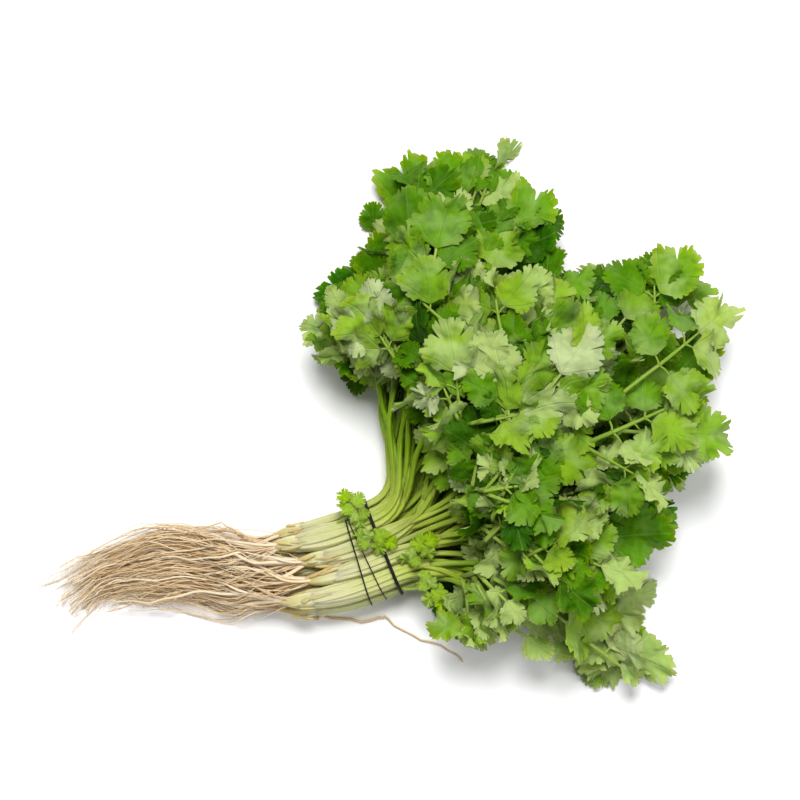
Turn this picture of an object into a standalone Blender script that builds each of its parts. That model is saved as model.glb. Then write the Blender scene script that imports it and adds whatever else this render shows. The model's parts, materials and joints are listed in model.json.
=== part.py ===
"""A bunch of coriander lying on its side, metres, +Z up.

Whole plants, each a taproot, a sheaf of leaf stems and two sprays of leaves, are held at the stems by
two rubber bands. Beyond the bands the plants fan out into a broad head of leaves.

Every plant follows its own lane through the bunch. A place in the bunch is (along, across, level):
along is the distance from the upper band, positive towards the leaves; across runs from -1 on the right
of the bundle to 1 on its left; level runs from -1 underneath to 1 on top. Lanes never cross, so no plant
touches another.
"""

import bmesh
import bpy
from math import atan2, cos, pi, radians, sin
from mathutils import Vector
from random import Random

# The bundle
TIE = Vector((-0.0082, -0.0716, 0.0))   # under the middle of the upper band
TIE_HEADING = 22.0                      # degrees from +X to the way the stems run at the upper band
GAP = 0.0003                            # between neighbours that nearly touch
STEP = 0.002                            # stride used to walk along a lane
CURVE_SIDES = 2                         # bevel resolution of every tube, 8 sides

# Rows of (along, value) from the root tips to the bands
ROOT_HEADING = ((-0.175, 48), (-0.150, 42), (-0.128, 14), (-0.108, -4), (-0.085, -5), (-0.060, 3), (0, 22))
HALF_WIDTH = ((-0.175, 0.0120), (-0.130, 0.0125), (-0.100, 0.0145), (-0.072, 0.0185), (-0.045, 0.0235),
              (0, 0.0235))
ROOT_THICKNESS = ((-0.175, 0.004), (-0.140, 0.008), (-0.100, 0.014), (-0.070, 0.021), (-0.045, 0.026),
                  (0, 0.026))
CLEARANCE = ((-0.175, 0.0004), (-0.080, 0.0004), (-0.040, 0.0016), (0, 0.0034), (0.050, 0.0012), (0.075, 0))

# The fan
FAN_MIDDLE = 33.0       # degrees, heading of the lane at across 0 once it has fanned out
FAN_HALF = 62.0         # degrees from there to the lanes at across 1 and -1
FAN_BEND = 0.044        # length over which the lanes turn from the bundle into the fan
HEAD_THICKNESS = 0.088
HEAD_RISE = (0.006, 0.095)          # along, where the bundle starts to thicken and where it is full
HEAD_SIDE_DROP = 0.38               # share of the thickness lost at across 1 and -1
HEAD_TIP_DROP = 0.52                # share lost at the leaf tips
TIP_STARTS = 0.55                   # share of the reach at which that loss begins
REACH = ((-1.17, 0.085), (-1.0, 0.120), (-0.85, 0.152), (-0.72, 0.150), (-0.5, 0.131), (-0.35, 0.132),
         (-0.15, 0.172), (0.0, 0.206), (0.08, 0.214), (0.25, 0.182), (0.4, 0.176), (0.55, 0.192),
         (0.68, 0.214), (0.8, 0.200), (1.0, 0.158), (1.17, 0.120))
LEAVES_START = ((-1.17, 0.040), (-0.5, 0.050), (0.0, 0.057), (0.5, 0.062), (1.17, 0.057))

# The plants: (plants in the row, level of its stems, lowest and highest level of its leaves)
ROWS = ((4, -0.64, -1.18, -0.42), (5, 0.0, -0.28, 0.28), (4, 0.64, 0.42, 1.0))
LANE_PITCH = 0.4            # across, between neighbouring stems in the bundle
HEAD_ACROSS = 2.34          # across, the breadth that the leaves of one row share
LANE_SPREAD = 0.080         # along, where a lane has its full share of the head
CROWN_ALONG = -0.042        # where taproot and stems meet, on average
CROWN_SCATTER = 0.006
CROWN_GAP = 0.0012          # between the end faces there, which are slightly turned to each other
LEAF_GAP = 0.0022           # between the stems' end and the first leaves
ROOT_TIPS = (-0.166, -0.124)    # the farthest and the nearest root tip
ROOT_RADIUS = ((0, 0.0040), (0.006, 0.0041), (0.020, 0.0026), (0.045, 0.0017), (0.080, 0.0011),
               (0.130, 0.0005))     # by distance from the crown
STEM_RADIUS = ((-0.050, 0.0042), (0, 0.0043), (0.080, 0.0034))
TUBE_STRIDE = 0.0095        # between the points of a root or a sheaf of stems

# Leaf sprays
SPRAY_SPLIT = 0.45          # share of a lane's leafy stretch that the inner spray takes
SPRAY_GAP = 0.006           # share left free on each side of the split
SPRAY_FILL = 0.95           # share of its lane's breadth that a spray fills
SPRAY_ROUNDNESS = 2.8       # 2 is an ellipsoid, more is fuller
SPRAY_LOBES = 3
SPRAY_LOBE_DEPTH = 0.08
SPRAY_SEGMENTS = (12, 8)    # around and from pole to pole

# Rubber bands: (name, along, radius of the cord)
BANDS = (("rubber_band_upper", 0.0, 0.0011), ("rubber_band_lower", -0.0135, 0.0006))
BAND_POINTS = 36

# Colour, roughness
ROOT_LOOK = ((0.62, 0.46, 0.28), 0.75)
STEM_LOOK = ((0.36, 0.52, 0.10), 0.45)
LEAF_LOOKS = {"inner": ((0.07, 0.25, 0.03), 0.5), "outer": ((0.12, 0.36, 0.05), 0.5)}
BAND_LOOK = ((0.015, 0.016, 0.018), 0.7)


def smooth(x):
    """0 below 0, 1 above 1 and an even turn between."""
    x = min(max(x, 0.0), 1.0)
    return x * x * (3 - 2 * x)


def read(table, x):
    """The value of a table of (x, value) rows at x, eased between its rows."""
    if x <= table[0][0]:
        return table[0][1]
    for (x0, v0), (x1, v1) in zip(table, table[1:]):
        if x <= x1:
            return v0 + (v1 - v0) * smooth((x - x0) / (x1 - x0))
    return table[-1][1]


def heading(along, across):
    """The way a lane runs, in radians from +X."""
    if along <= 0:
        return radians(read(ROOT_HEADING, along))
    fanned = FAN_MIDDLE + FAN_HALF * across
    return radians(TIE_HEADING + (fanned - TIE_HEADING) * smooth(along / FAN_BEND))


def sideways(angle):
    return Vector((-sin(angle), cos(angle), 0))


def walk(start, along, across):
    """From a point at the upper band, along a lane for the given distance, backwards if it is negative."""
    strides = max(1, round(abs(along) / STEP))
    stride = along / strides
    point = start.copy()
    for i in range(strides):
        angle = heading((i + 0.5) * stride, across)
        point += Vector((cos(angle), sin(angle), 0)) * stride
    return point


def level_height(along, across, level):
    """Height of a level above the surface."""
    thickness = read(ROOT_THICKNESS, min(along, 0))
    if along > 0:
        reach = read(REACH, across)
        tips = smooth((along / reach - TIP_STARTS) / (1 - TIP_STARTS))
        head = HEAD_THICKNESS * (1 - HEAD_SIDE_DROP * min(abs(across), 1.2) ** 2) * (1 - HEAD_TIP_DROP * tips)
        rise = smooth((along - HEAD_RISE[0]) / (HEAD_RISE[1] - HEAD_RISE[0]))
        thickness += (head - thickness) * rise
    return read(CLEARANCE, along) + (level + 1) / 2 * thickness


def place(along, across, level):
    """The point in space at a place in the bunch."""
    if along <= 0:
        point = walk(TIE, along, 0) + sideways(heading(along, 0)) * across * read(HALF_WIDTH, along)
    else:
        point = walk(TIE + sideways(heading(0, 0)) * across * read(HALF_WIDTH, 0), along, across)
    point.z = level_height(along, across, level)
    return point


class Plant:
    """One plant's lane: where it runs in the bundle and where its leaves are in the head."""

    def __init__(self, number, row, index, dice):
        count, self.level, self.leaf_low, self.leaf_high = ROWS[row]
        from_middle = index - (count - 1) / 2
        self.name = f"plant_{number:02d}"
        self.bundle_across = from_middle * LANE_PITCH
        self.head_across = from_middle * HEAD_ACROSS / count
        self.head_half = HEAD_ACROSS / count / 2
        self.crown = CROWN_ALONG + dice.uniform(-CROWN_SCATTER, CROWN_SCATTER)
        self.root_tip = dice.uniform(*ROOT_TIPS)
        self.leaves_start = read(LEAVES_START, self.head_across)

    def across(self, along):
        return self.bundle_across + (self.head_across - self.bundle_across) * smooth(along / LANE_SPREAD)

    def point(self, along):
        return place(along, self.across(along), self.level)


def row_of_plants():
    """Every plant, row by row from the bottom of the bunch."""
    dice = Random(7)
    lanes = [(row, index) for row in range(len(ROWS)) for index in range(ROWS[row][0])]
    return [Plant(number + 1, row, index, dice) for number, (row, index) in enumerate(lanes)]


def material(name, look):
    """A Principled material of one colour and roughness."""
    colour, roughness = look
    made = bpy.data.materials.new(name)
    made.use_nodes = True
    shader = made.node_tree.nodes["Principled BSDF"]
    shader.inputs["Base Color"].default_value = (*colour, 1)
    shader.inputs["Roughness"].default_value = roughness
    shader.inputs["Metallic"].default_value = 0
    made.diffuse_color = (*colour, 1)
    return made


def tube(name, points, radii, look, closed=False):
    """A round tube along points, which stands at its first point; its ends are capped."""
    curve = bpy.data.curves.new(name, "CURVE")
    curve.dimensions = "3D"
    curve.bevel_depth = 1
    curve.bevel_resolution = CURVE_SIDES
    curve.use_fill_caps = not closed
    spline = curve.splines.new("POLY")
    spline.points.add(len(points) - 1)
    spline.use_cyclic_u = closed
    for spline_point, point, radius in zip(spline.points, points, radii):
        spline_point.co = (*(point - points[0]), 1)
        spline_point.radius = radius
    curve.materials.append(material(name, look))
    made = bpy.data.objects.new(name, curve)
    made.location = points[0]
    return made


def along_steps(start, end):
    """Evenly spaced distances from start to end, about one tube stride apart."""
    count = max(2, round(abs(end - start) / TUBE_STRIDE))
    return [start + (end - start) * i / count for i in range(count + 1)]


def make_taproot(plant):
    """From the crown down to the tip, tapering."""
    steps = along_steps(plant.crown, plant.root_tip)
    radii = [read(ROOT_RADIUS, plant.crown - along) for along in steps]
    return tube(plant.name + "_taproot", [plant.point(along) for along in steps], radii, ROOT_LOOK)


def make_stems(plant):
    """The plant's leaf stems, one sheaf from the crown to its leaves."""
    steps = along_steps(plant.crown + CROWN_GAP, plant.leaves_start)
    radii = [read(STEM_RADIUS, along) for along in steps]
    return tube(plant.name + "_stems", [plant.point(along) for along in steps], radii, STEM_LOOK)


def spray_shape(direction, phase):
    """A unit direction stretched to a full, lobed form."""
    x, y, z = direction
    n = SPRAY_ROUNDNESS
    full = (abs(x) ** n + abs(y) ** n + abs(z) ** n) ** (-1 / n)
    lobes = 1 - SPRAY_LOBE_DEPTH * (0.5 + 0.5 * cos(SPRAY_LOBES * atan2(y, x) + phase)) * (1 - z * z)
    return Vector((x * lobes, y * lobes, z)) * full


def leafy_along(share, across):
    """Where a share of the leafy stretch of a lane ends, 0 at the stems and 1 at the leaf tips."""
    start = read(LEAVES_START, across) + LEAF_GAP
    return start + share * (read(REACH, across) - start)


def make_spray(plant, which, start, end, phase):
    """One spray over a share of the leafy stretch of its lane; the lowest rest flat on the surface."""
    around, poles = SPRAY_SEGMENTS
    form = bmesh.new()
    bmesh.ops.create_uvsphere(form, u_segments=around, v_segments=poles, radius=1)
    middle = (start + end) / 2
    half_share = (end - start) / 2
    level = (plant.leaf_low + plant.leaf_high) / 2
    half_level = (plant.leaf_high - plant.leaf_low) / 2
    foot = place(leafy_along(middle, plant.head_across), plant.head_across, level)
    foot.z = 0
    for vertex in form.verts:
        shape = spray_shape(vertex.co.normalized(), phase)
        across = plant.head_across + shape.y * plant.head_half * SPRAY_FILL
        along = leafy_along(middle + shape.x * half_share, across)
        point = place(along, across, level + shape.z * half_level)
        point.z = max(point.z, 0)
        vertex.co = point - foot
    name = f"{plant.name}_leaves_{which}"
    mesh = bpy.data.meshes.new(name)
    form.to_mesh(mesh)
    form.free()
    mesh.shade_smooth()
    mesh.materials.append(material(name, LEAF_LOOKS[which]))
    made = bpy.data.objects.new(name, mesh)
    made.location = foot
    return made


def make_leaves(plant, dice):
    """The inner spray, next to the stems, and the outer one at the edge of the head."""
    phase = dice.uniform(0, 2 * pi)
    inner = make_spray(plant, "inner", 0, SPRAY_SPLIT - SPRAY_GAP, phase)
    outer = make_spray(plant, "outer", SPRAY_SPLIT + SPRAY_GAP, 1, phase + pi / 2)
    return [inner, outer]


def make_band(plants, name, along, radius):
    """A taut loop around all the stems at one place along the bundle."""
    side = sideways(heading(along, 0))
    middle = walk(TIE, along, 0)
    stem = read(STEM_RADIUS, along)
    stems = []
    for plant in plants:
        centre = plant.point(along)
        stems.append(((centre - middle).dot(side), centre.z))
    points = []
    for i in range(BAND_POINTS):
        angle = 2 * pi * i / BAND_POINTS
        out = (cos(angle), sin(angle))
        across, height = max(stems, key=lambda centre: centre[0] * out[0] + centre[1] * out[1])
        off = stem + GAP + radius
        points.append(middle + side * (across + out[0] * off) + Vector((0, 0, height + out[1] * off)))
    return tube(name, points, [radius] * BAND_POINTS, BAND_LOOK, closed=True)


def main():
    for leftover in list(bpy.data.objects):
        bpy.data.objects.remove(leftover, do_unlink=True)
    bunch = bpy.data.collections.new("coriander_bunch")
    bpy.context.scene.collection.children.link(bunch)
    plants = row_of_plants()
    dice = Random(11)
    made = []
    for plant in plants:
        made += [make_taproot(plant), make_stems(plant), *make_leaves(plant, dice)]
    made += [make_band(plants, name, along, radius) for name, along, radius in BANDS]
    for piece in made:
        bunch.objects.link(piece)


main()
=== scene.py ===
"""A tied bunch of coriander lying on a pale surface: roots, leaf stalks, leaves and rubber bands.

Every plant follows its own lane through the bunch. A place in the bunch is (along, across, level): along is
the distance from the upper band in metres, positive towards the leaves; across runs from -1 on the right of
the bundle to 1 on its left; level runs from -1 underneath to 1 on top.
"""

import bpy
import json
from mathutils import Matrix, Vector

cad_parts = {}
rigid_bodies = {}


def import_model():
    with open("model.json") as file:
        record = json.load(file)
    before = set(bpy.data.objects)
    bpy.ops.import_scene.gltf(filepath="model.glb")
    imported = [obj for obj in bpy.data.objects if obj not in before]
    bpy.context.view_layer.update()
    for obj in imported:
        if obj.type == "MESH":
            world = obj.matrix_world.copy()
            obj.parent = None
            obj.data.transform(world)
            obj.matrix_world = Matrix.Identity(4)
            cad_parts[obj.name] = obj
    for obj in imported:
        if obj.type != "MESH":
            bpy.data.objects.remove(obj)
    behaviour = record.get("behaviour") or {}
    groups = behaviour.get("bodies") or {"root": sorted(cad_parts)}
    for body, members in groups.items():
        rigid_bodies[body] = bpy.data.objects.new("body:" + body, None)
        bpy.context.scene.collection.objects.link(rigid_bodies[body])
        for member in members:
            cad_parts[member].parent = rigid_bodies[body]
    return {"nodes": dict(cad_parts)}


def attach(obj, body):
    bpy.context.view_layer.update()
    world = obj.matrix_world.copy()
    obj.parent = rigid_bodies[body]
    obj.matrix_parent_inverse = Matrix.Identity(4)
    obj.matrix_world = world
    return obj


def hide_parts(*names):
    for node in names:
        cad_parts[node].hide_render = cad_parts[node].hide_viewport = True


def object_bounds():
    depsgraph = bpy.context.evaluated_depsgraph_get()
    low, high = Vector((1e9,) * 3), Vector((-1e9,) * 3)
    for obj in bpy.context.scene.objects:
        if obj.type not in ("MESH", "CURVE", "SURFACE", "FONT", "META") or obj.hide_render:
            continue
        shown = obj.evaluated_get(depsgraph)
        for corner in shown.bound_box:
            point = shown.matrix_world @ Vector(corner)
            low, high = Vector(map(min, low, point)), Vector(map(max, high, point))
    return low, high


bl_info = {
    "name": "Coriander Bunch",
    "version": (1, 0, 0),
    "blender": (4, 5, 0),
    "location": "View3D > Sidebar > Bunch",
    "description": "Builds a tied bunch of coriander with its roots, stalk by stalk and leaf by leaf",
    "category": "Add Mesh",
}

import bpy
import json
import numpy as np
from bpy.props import FloatProperty, FloatVectorProperty, IntProperty, PointerProperty
from math import cos, pi, radians, sin, tau
from mathutils import Matrix, Quaternion, Vector
from random import Random

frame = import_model()
CAD_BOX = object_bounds()
BODY = "root"
PLANTS = sorted({name[:8] for name in frame["nodes"] if name.startswith("plant_")})

# ---------------------------------------------------------------- the lanes through the bunch

TIE = (-0.0082, -0.0716)                # under the middle of the upper band
TIE_HEADING = 22.0                      # degrees from +X to the way the stalks run at the upper band
ROOT_HEADING = ((-0.175, 48), (-0.150, 42), (-0.128, 14), (-0.108, -4), (-0.085, -5), (-0.060, 3), (0, 22))
BUNDLE_WIDE, BUNDLE_THICK = 0.0235, 0.013   # half the width and half the thickness of the tied stalks
HALF_WIDTH = ((-0.175, 0.0120), (-0.130, 0.0125), (-0.100, 0.0145), (-0.072, 0.0185), (-0.045, BUNDLE_WIDE),
              (0, BUNDLE_WIDE))
ROOT_THICKNESS = ((-0.175, 0.004), (-0.140, 0.008), (-0.100, 0.014), (-0.070, 0.021), (-0.045, 0.026),
                  (0, 0.026))
CLEARANCE = ((-0.175, 0.0004), (-0.080, 0.0004), (-0.040, 0.0016), (0, 0.0034), (0.050, 0.0012), (0.075, 0))
FAN_MIDDLE, FAN_HALF = 33.0, 52.0       # degrees, the headings that the lanes fan out to
FAN_BEND = 0.044, 0.020                 # length over which they turn, in the middle and at the left edge
HEAD_THICKNESS = 0.088
HEAD_RISE = (0.006, 0.095)
HEAD_SIDE_DROP, HEAD_TIP_DROP, TIP_STARTS = 0.38, 0.52, 0.55
SIDE_DROP_ENDS = 1.2                    # across, where the head gets no lower
REACH = ((-1.17, 0.134), (-1.0, 0.128), (-0.88, 0.117), (-0.75, 0.118), (-0.56, 0.112), (-0.44, 0.130),
         (-0.24, 0.156), (-0.14, 0.164), (0.0, 0.200), (0.09, 0.219), (0.18, 0.198), (0.28, 0.178),
         (0.42, 0.164), (0.60, 0.154), (0.72, 0.176), (0.85, 0.206), (0.94, 0.194), (1.08, 0.150),
         (1.17, 0.112))
LEAVES_START = ((-1.17, 0.040), (-0.5, 0.058), (-0.1, 0.058), (0.23, 0.064), (0.52, 0.082), (0.8, 0.084),
                (1.0, 0.082), (1.17, 0.068))
ROWS = ((4, -0.64, -1.0, -0.30), (5, 0.0, -0.40, 0.40), (4, 0.64, 0.30, 1.0))
LANE_PITCH = 0.4                        # across, between neighbouring plants in the bundle
HEAD_ACROSS = 2.34                      # across, the breadth that the leaves of one row share
LANE_SPREAD = 0.050                     # along, where a lane has its full share of the head
CROWN_ALONG, CROWN_SCATTER, CROWN_SHIFT = -0.042, 0.006, (-0.004, 0.006)
ROOT_TIPS = (-0.166, -0.124)
LANE_LENGTH, STRIDE = 0.27, 0.002       # of the lane table, and between its points
ACROSS_EDGE, ACROSS_COUNT = 1.6, 65     # the table's breadth and its number of lanes
FLOOR_GAP = 0.0004                      # nothing reaches lower
SOFT_TOP, TOP = CAD_BOX[1][2] - 0.016, CAD_BOX[1][2] + 0.010    # heights are squeezed between these


def smooth(x):
    """0 below 0, 1 above 1 and an even turn between."""
    x = np.clip(x, 0.0, 1.0)
    return x * x * (3 - 2 * x)


def read(table, x):
    """The values of a table of (x, value) rows at x, eased between its rows."""
    places, values = np.array(table, float).T
    x = np.clip(x, places[0], places[-1])
    i = np.clip(np.searchsorted(places, x, side="right") - 1, 0, len(places) - 2)
    share = smooth((x - places[i]) / (places[i + 1] - places[i]))
    return values[i] + (values[i + 1] - values[i]) * share


def below_top(z):
    """Heights, with those above SOFT_TOP squeezed in below TOP."""
    room = TOP - SOFT_TOP
    return np.where(z > SOFT_TOP, TOP - room * np.exp(-np.maximum(z - SOFT_TOP, 0) / room), z)


def sideways(angle):
    return np.stack((-np.sin(angle), np.cos(angle)), axis=-1)


class Lanes:
    """Where every lane runs, walked once and then looked up."""

    def __init__(self):
        strides = np.arange(0, LANE_LENGTH, STRIDE) + STRIDE / 2
        acrosses = np.linspace(-ACROSS_EDGE, ACROSS_EDGE, ACROSS_COUNT)
        turn = FAN_MIDDLE + FAN_HALF * acrosses[:, None] - TIE_HEADING
        bend = FAN_BEND[0] + (FAN_BEND[1] - FAN_BEND[0]) * smooth(acrosses)[:, None]
        angles = np.radians(TIE_HEADING + turn * smooth(strides / bend))
        start = np.array(TIE) + sideways(radians(TIE_HEADING)) * (acrosses * BUNDLE_WIDE)[:, None]
        self.fan = self.walk(start, angles, STRIDE)
        back = np.radians(read(ROOT_HEADING, -strides))
        self.spine = self.walk(np.array([TIE]), back[None, :], -STRIDE)[0]

    @staticmethod
    def walk(start, angles, stride):
        steps = np.stack((np.cos(angles), np.sin(angles)), axis=-1) * stride
        start = start[:, None, :]
        return np.concatenate((start, start + np.cumsum(steps, axis=1)), axis=1)

    @staticmethod
    def cell(place, count):
        """The row before a place in a table of this many rows, and the share of the way to the next."""
        row = np.clip(place.astype(int), 0, count - 2)
        return row, (place - row)[:, None]

    def plan(self, along, across):
        """Places seen from above."""
        i, t = self.cell(np.clip(along, 0, None) / STRIDE, self.fan.shape[1])
        lane = (across + ACROSS_EDGE) / (2 * ACROSS_EDGE) * (ACROSS_COUNT - 1)
        j, u = self.cell(np.clip(lane, 0, ACROSS_COUNT - 1.001), ACROSS_COUNT)
        near = self.fan[j, i] * (1 - u) + self.fan[j + 1, i] * u
        far = self.fan[j, i + 1] * (1 - u) + self.fan[j + 1, i + 1] * u
        leafward = near * (1 - t) + far * t
        k, v = self.cell(np.clip(-along, 0, None) / STRIDE, len(self.spine))
        middle = self.spine[k] * (1 - v) + self.spine[k + 1] * v
        side = sideways(np.radians(read(ROOT_HEADING, along)))
        rootward = middle + side * (across * read(HALF_WIDTH, along))[:, None]
        return np.where((along > 0)[:, None], leafward, rootward)

    def point(self, along, across, level):
        """Places in space, one row each."""
        lanes = [np.atleast_1d(np.asarray(part, float)) for part in (along, across, level)]
        along, across, level = np.broadcast_arrays(*lanes)
        return np.column_stack((self.plan(along, across), level_height(along, across, level)))


def level_height(along, across, level):
    thickness = read(ROOT_THICKNESS, np.minimum(along, 0))
    tips = smooth((along / read(REACH, across) - TIP_STARTS) / (1 - TIP_STARTS))
    side = 1 - HEAD_SIDE_DROP * np.minimum(np.abs(across), SIDE_DROP_ENDS) ** 2
    head = HEAD_THICKNESS * side * (1 - HEAD_TIP_DROP * tips)
    rise = smooth((along - HEAD_RISE[0]) / (HEAD_RISE[1] - HEAD_RISE[0]))
    return read(CLEARANCE, along) + (level + 1) / 2 * (thickness + (head - thickness) * rise)


LANES = Lanes()


class Plant:
    """One plant's lane: where it runs in the bundle and where its leaves are in the head."""

    def __init__(self, number, row, index, dice):
        count, self.level, self.leaf_low, self.leaf_high = ROWS[row]
        from_middle = index - (count - 1) / 2
        self.name = PLANTS[number]
        self.row = row
        self.bundle_across = from_middle * LANE_PITCH
        self.head_across = from_middle * HEAD_ACROSS / count
        self.head_half = HEAD_ACROSS / count / 2
        self.crown = CROWN_ALONG + dice.uniform(-CROWN_SCATTER, CROWN_SCATTER)
        self.root_tip = dice.uniform(*ROOT_TIPS)
        self.dice = Random(100 + number)
        self.crown += self.dice.uniform(*CROWN_SHIFT)


def all_plants():
    dice = Random(7)
    lanes = [(row, index) for row in range(len(ROWS)) for index in range(ROWS[row][0])]
    return [Plant(number, row, index, dice) for number, (row, index) in enumerate(lanes)]


# ---------------------------------------------------------------- strands: stalks and roots

class Strand:
    """A stalk, root or band: its points, and what each has for radius, growth, tint and dryness."""

    def __init__(self, points, thickness, growth, tint=0.5, dry=0.0):
        self.points = np.asarray(points, float)
        count = len(self.points)
        self.thickness = np.broadcast_to(thickness, count)
        self.growth = np.broadcast_to(growth, count)
        self.tint = np.full(count, tint)
        self.dry = np.broadcast_to(dry, count)


NUMBER_KINDS = {"FLOAT": np.float32, "QUATERNION": np.float32, "INT": np.int32, "BOOLEAN": bool}


def write_attribute(mesh, name, values, kind="FLOAT", domain="POINT"):
    values = np.asarray(values, NUMBER_KINDS[kind]).ravel()
    mesh.attributes.new(name, kind, domain).data.foreach_set("value", values)


def add_object(name, data):
    made = bpy.data.objects.new(name, data)
    bpy.context.scene.collection.objects.link(made)
    return made


def strand_object(name, strands):
    """The strands as bare lines, with what the strand tree reads on their points."""
    points = np.concatenate([strand.points for strand in strands])
    points[:, 2] = below_top(points[:, 2])
    edges, start = [], 0
    for strand in strands:
        edges += [(start + i, start + i + 1) for i in range(len(strand.points) - 1)]
        start += len(strand.points)
    mesh = bpy.data.meshes.new(name)
    mesh.from_pydata(points.tolist(), edges, [])
    for key in ("thickness", "growth", "tint", "dry"):
        write_attribute(mesh, key, np.concatenate([getattr(strand, key) for strand in strands]))
    return add_object(name, mesh)


def fill(tree, sockets, values):
    """Gives sockets, by number or name, their values: another node's output, or a plain value."""
    for key, value in dict(values).items():
        if isinstance(value, bpy.types.NodeSocket):
            tree.links.new(value, sockets[key])
        else:
            sockets[key].default_value = value


def add_node(tree, kind, values=(), output=0, **settings):
    """Adds a node with its settings and the values of its inputs, and gives one of its outputs."""
    node = tree.nodes.new(kind)
    for key, value in settings.items():
        setattr(node, key, value)
    fill(tree, node.inputs, values)
    return node.outputs[output]


def math_node(tree, operation, *values):
    return add_node(tree, "ShaderNodeMath", enumerate(values), operation=operation)


def times(tree, *values):
    return math_node(tree, "MULTIPLY", *values)


def plus(tree, *values):
    return math_node(tree, "ADD", *values)


def times_plus(tree, *values):
    return math_node(tree, "MULTIPLY_ADD", *values)


def new_tree(name, inputs):
    """A geometry node tree with named inputs, given as (name, socket type, default), and their sockets."""
    tree = bpy.data.node_groups.new(name, "GeometryNodeTree")
    tree.interface.new_socket("Geometry", in_out="INPUT", socket_type="NodeSocketGeometry")
    for label, kind, default in inputs:
        tree.interface.new_socket(label, in_out="INPUT", socket_type=kind).default_value = default
    tree.interface.new_socket("Material", in_out="INPUT", socket_type="NodeSocketMaterial")
    tree.interface.new_socket("Geometry", in_out="OUTPUT", socket_type="NodeSocketGeometry")
    return tree, tree.nodes.new("NodeGroupInput").outputs


def finish_tree(tree, geometry, given):
    """Every tree ends in real geometry with its material."""
    real = add_node(tree, "GeometryNodeRealizeInstances", {0: geometry})
    soft = add_node(tree, "GeometryNodeSetShadeSmooth", {"Geometry": real})
    painted = add_node(tree, "GeometryNodeSetMaterial", {"Geometry": soft, "Material": given["Material"]})
    tree.links.new(painted, tree.nodes.new("NodeGroupOutput").inputs[0])
    return tree


def attribute_reader(tree, name, kind="FLOAT"):
    return add_node(tree, "GeometryNodeInputNamedAttribute", {"Name": name}, "Attribute", data_type=kind)


def strand_tree():
    """Turns lines into ribbed, tapering tubes with closed ends."""
    inputs = ("Sides", "NodeSocketInt", 8), ("Rib depth", "NodeSocketFloat", 0.0)
    tree, given = new_tree("strands", inputs)
    circle = add_node(tree, "GeometryNodeCurvePrimitiveCircle",
                      {"Radius": 1.0, "Resolution": given["Sides"]})
    odd = math_node(tree, "MODULO", add_node(tree, "GeometryNodeInputIndex"), 2.0)
    rib = math_node(tree, "SUBTRACT", 1.0, times(tree, odd, given["Rib depth"]))
    position = add_node(tree, "GeometryNodeInputPosition")
    scaled = add_node(tree, "ShaderNodeVectorMath", {0: position, "Scale": rib}, operation="SCALE")
    ribbed = add_node(tree, "GeometryNodeSetPosition", {"Geometry": circle, "Position": scaled})
    around = add_node(tree, "GeometryNodeStoreNamedAttribute",
                      {"Name": "around", "Geometry": ribbed, "Value": scaled}, data_type="FLOAT_VECTOR")
    lines = add_node(tree, "GeometryNodeMeshToCurve", {"Mesh": given["Geometry"]})
    skin = add_node(tree, "GeometryNodeCurveToMesh", {
        "Curve": lines, "Profile Curve": around, "Fill Caps": True,
        "Scale": attribute_reader(tree, "thickness")})
    return finish_tree(tree, skin, given)


def apply_tree(piece, tree, **values):
    """Runs a tree on a piece with the given inputs and keeps the result as its mesh."""
    modifier = piece.modifiers.new(tree.name, "NODES")
    modifier.node_group = tree
    sockets = {item.name: item.identifier for item in tree.interface.items_tree if item.in_out == "INPUT"}
    for label, value in values.items():
        modifier[sockets[label.replace("_", " ")]] = value
    evaluated = piece.evaluated_get(bpy.context.evaluated_depsgraph_get())
    mesh = bpy.data.meshes.new_from_object(evaluated)
    piece.modifiers.clear()
    piece.data = mesh
    mesh.name = piece.name


# ---------------------------------------------------------------- leaflets

LEAFLET_KINDS = 12
HEART = 0.43                    # from a leaflet's base to its middle, for a leaflet one long
LOBES = ((-143, -41, 0.51, 7), (-41, 41, 0.57, 7), (41, 143, 0.51, 7))  # from, to (degrees), reach, teeth
PARTS_START = 2, 5              # the teeth that a lobe's second and third parts start with
FLANK_REACH = 0.40              # from the middle to the first and the last notch
RING_SHARE = 0.55               # of the way from the middle to the notches
TOOTH_PLACES = 0.0, 0.27, 0.75  # a tooth's notch and its two corners, as shares of the tooth
LOBE_CUTS, PART_CUTS, TOOTH_CUTS = (0.28, 0.52), (0.13, 0.26), (0.060, 0.095)   # shares of the reach
YOUNG_CUTS = 0.62, 0.34, 0.12
LIVELINESS = 0.6, 1.1, 1.6      # how strongly the kinds fold and droop


def leaflet_outline(dice, lobe_cut, part_cut, tooth_cut):
    """The edge as (angle, reach) rows round the middle, from base to base, and which rows are notches."""
    rows, notches = [(-pi, HEART)], [0]
    lean = dice.uniform(-5, 5)
    for number, (low, high, longest, teeth) in enumerate(LOBES):
        longest *= dice.uniform(0.90, 1.08)
        for tooth in range(teeth):
            for place in TOOTH_PLACES:
                t = 2 * (tooth + place) / teeth - 1
                angle = low + (high - low) * (t + 1) / 2 + lean * (1 - abs(number - 1 + t / 2) / 1.5)
                reach = longest * (1 - 0.12 * abs(t) ** 2.2)
                if place:
                    angle += dice.uniform(-1.5, 1.5)
                    reach *= dice.uniform(0.95, 1.05)
                else:
                    notches.append(len(rows))
                    cut = (part_cut if tooth in PARTS_START else tooth_cut) if tooth else lobe_cut
                    reach *= 1 - cut * dice.uniform(0.8, 1.2)
                rows.append((radians(angle), reach if tooth or number or place else FLANK_REACH))
    notches.append(len(rows))
    rows.append((radians(LOBES[-1][1]), FLANK_REACH))
    return rows, notches


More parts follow.
